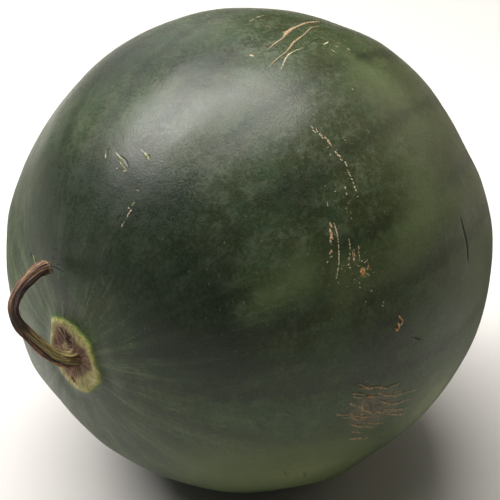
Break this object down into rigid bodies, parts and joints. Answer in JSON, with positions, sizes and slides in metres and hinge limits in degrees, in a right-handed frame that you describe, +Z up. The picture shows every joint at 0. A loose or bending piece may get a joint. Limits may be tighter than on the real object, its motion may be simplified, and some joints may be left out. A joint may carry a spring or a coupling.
{
  "type": "watermelon",
  "caption": "Whole round dark-green watermelon lying on its side, with its dried hooked stem still attached.",
  "frame": {"origin": "centre of the small flat spot that the fruit rests on, under the fruit's middle", "axes": "+X along the fruit's polar axis from the stem end to the blossom end, +Z up"},
  "size_m": [0.2516, 0.2299, 0.228],
  "materials": {
    "rind": "dark-green waxy rind with faint darker stripes, fine pale specks and tan corky scars, satin gloss",
    "dry_stem": "dried ridged stem, olive to reddish brown, matt"
  },
  "bodies": {
    "root": {"fruit": "rind", "stem": "dry_stem"}
  },
  "joints": []
}
